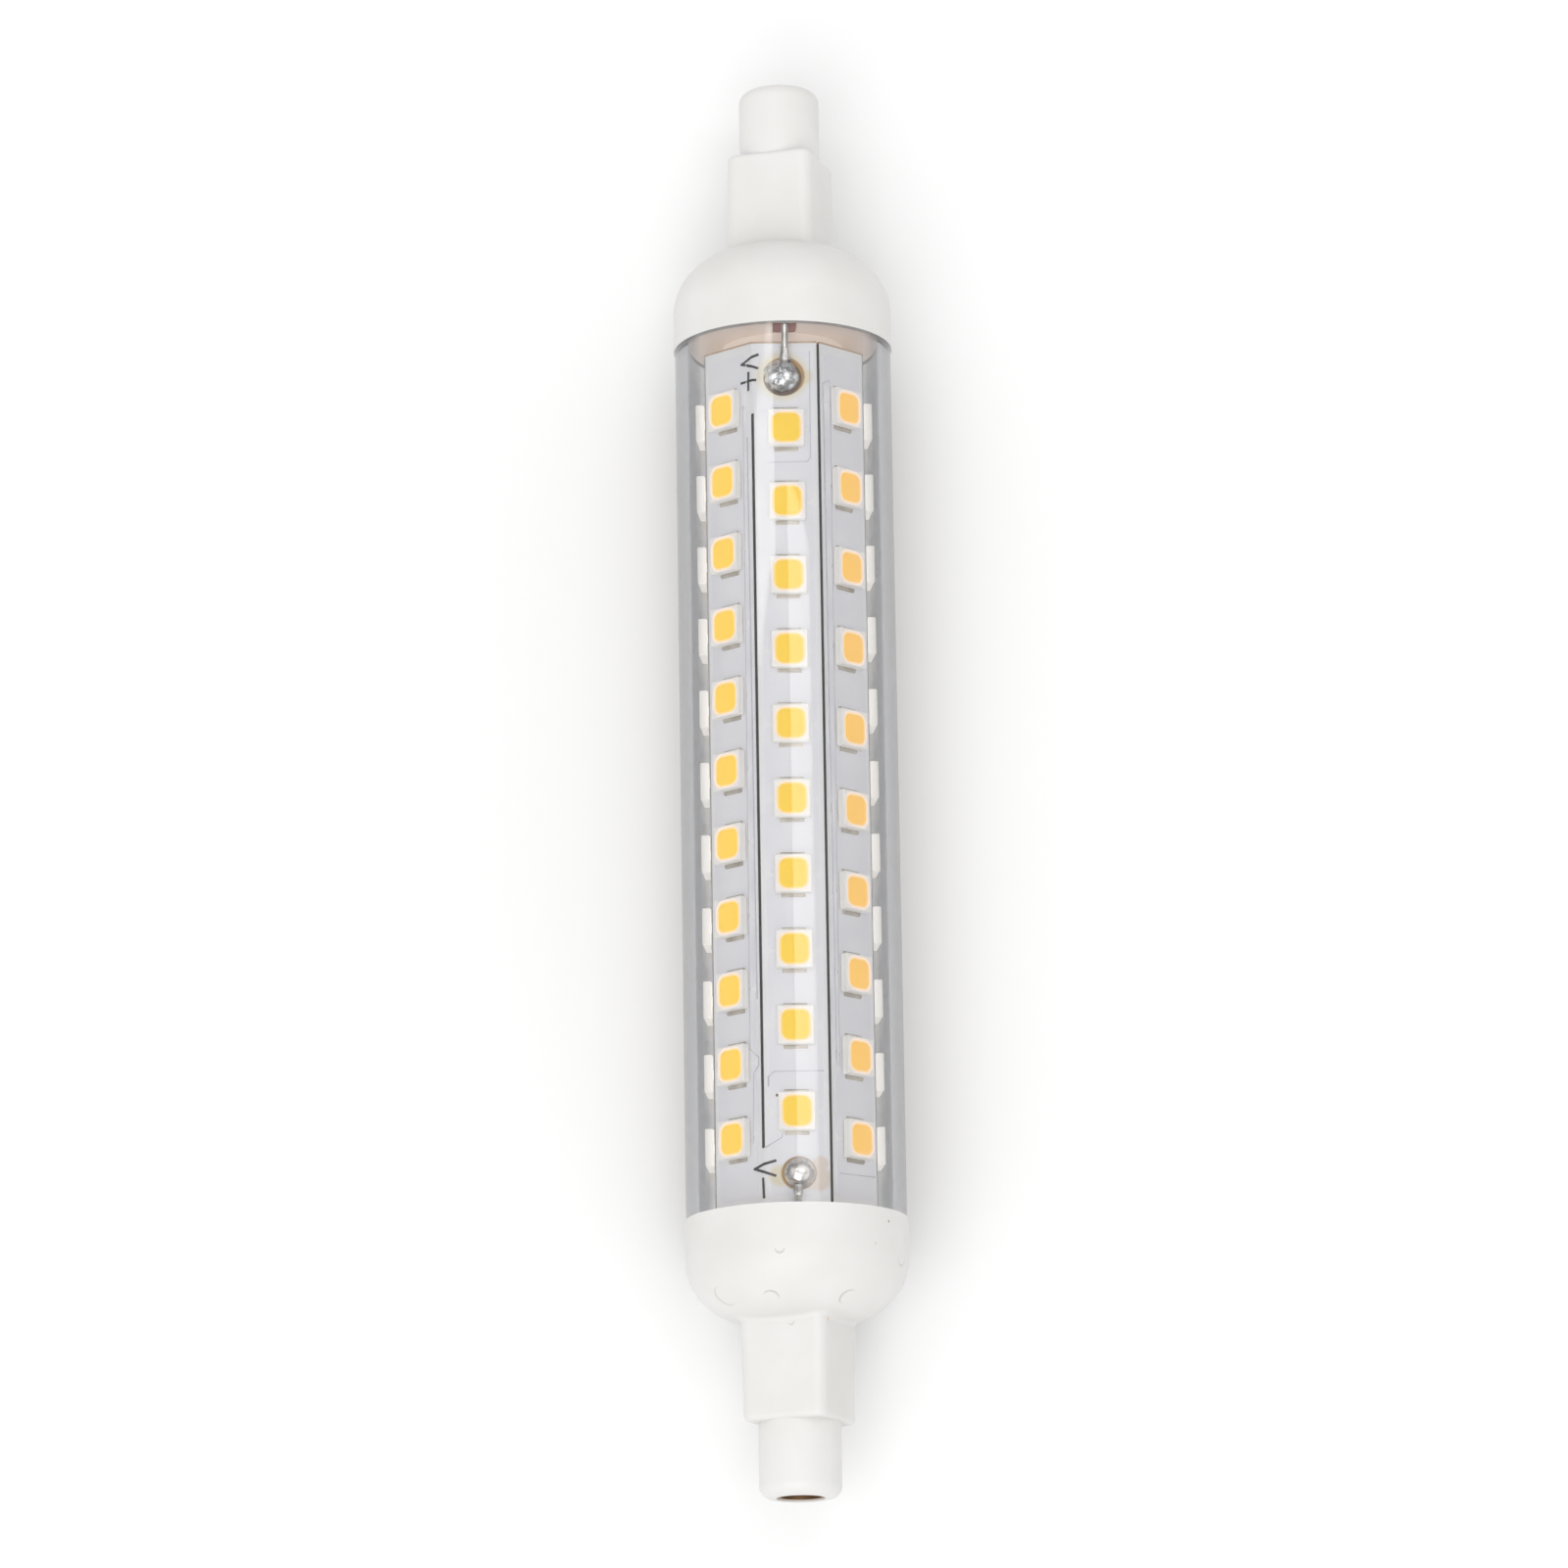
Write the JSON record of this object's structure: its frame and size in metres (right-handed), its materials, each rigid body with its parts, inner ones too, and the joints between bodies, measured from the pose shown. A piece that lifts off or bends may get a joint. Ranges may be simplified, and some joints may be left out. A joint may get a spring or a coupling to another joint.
{
  "type": "double-ended led corn bulb",
  "caption": "Straight double-ended LED lamp: clear tube over LEDs on a folded board, with white end caps, square shoulders and round ferrules holding recessed contacts.",
  "frame": {"origin": "centre of the lamp, on its long axis and midway between its two ferrule ends", "axes": "+X along the lamp to the V+ end, +Z out of the board face that carries the two solder joints, +Y to the left of the picture"},
  "size_m": [0.1176, 0.018, 0.018],
  "materials": {
    "cap_plastic": "moulded, slightly glossy white",
    "contact_brass": "turned, dulled",
    "clear_plastic": "clear extruded, polished",
    "board_white": "white solder mask, satin",
    "tinned_wire": "tinned copper wire",
    "solder": "bright solder",
    "red_epoxy": "dipped dark red epoxy",
    "driver_laminate": "glass laminate board",
    "black_moulding": "moulded black package",
    "can_sleeve": "sleeved aluminium can",
    "ferrite": "fired ferrite",
    "copper_wire": "enamelled copper",
    "resistor_body": "painted ceramic body",
    "wire_cover": "insulated wire",
    "led_plastic": "moulded white LED housing",
    "phosphor": "yellow phosphor in clear resin",
    "led_tab": "tinned tab"
  },
  "bodies": {
    "root": {"upper_end_cap": "cap_plastic", "lower_end_cap": "cap_plastic", "upper_contact": "contact_brass", "lower_contact": "contact_brass", "clear_tube": "clear_plastic", "led_board": "board_white", "positive_lead": "tinned_wire", "negative_lead": "tinned_wire", "capacitor_return_lead": "tinned_wire", "positive_solder": "solder", "negative_solder": "solder", "film_capacitor": "red_epoxy", "driver_board": "driver_laminate", "bridge_rectifier": "black_moulding", "driver_chip": "black_moulding", "flyback_diode": "black_moulding", "chip_resistors": "black_moulding", "electrolytic_capacitor": "can_sleeve", "inductor_core": "ferrite", "inductor_winding": "copper_wire", "fusible_resistor": "resistor_body", "upper_mains_wire": "wire_cover", "lower_mains_wire": "wire_cover", "led_housings_front": "led_plastic", "led_phosphor_front": "phosphor", "led_tabs_front": "led_tab", "led_housings_front_left": "led_plastic", "led_phosphor_front_left": "phosphor", "led_tabs_front_left": "led_tab", "led_housings_left": "led_plastic", "led_phosphor_left": "phosphor", "led_tabs_left": "led_tab", "led_housings_back_left": "led_plastic", "led_phosphor_back_left": "phosphor", "led_tabs_back_left": "led_tab", "led_housings_back": "led_plastic", "led_phosphor_back": "phosphor", "led_tabs_back": "led_tab", "led_housings_back_right": "led_plastic", "led_phosphor_back_right": "phosphor", "led_tabs_back_right": "led_tab", "led_housings_right": "led_plastic", "led_phosphor_right": "phosphor", "led_tabs_right": "led_tab", "led_housings_front_right": "led_plastic", "led_phosphor_front_right": "phosphor", "led_tabs_front_right": "led_tab"}
  },
  "joints": []
}
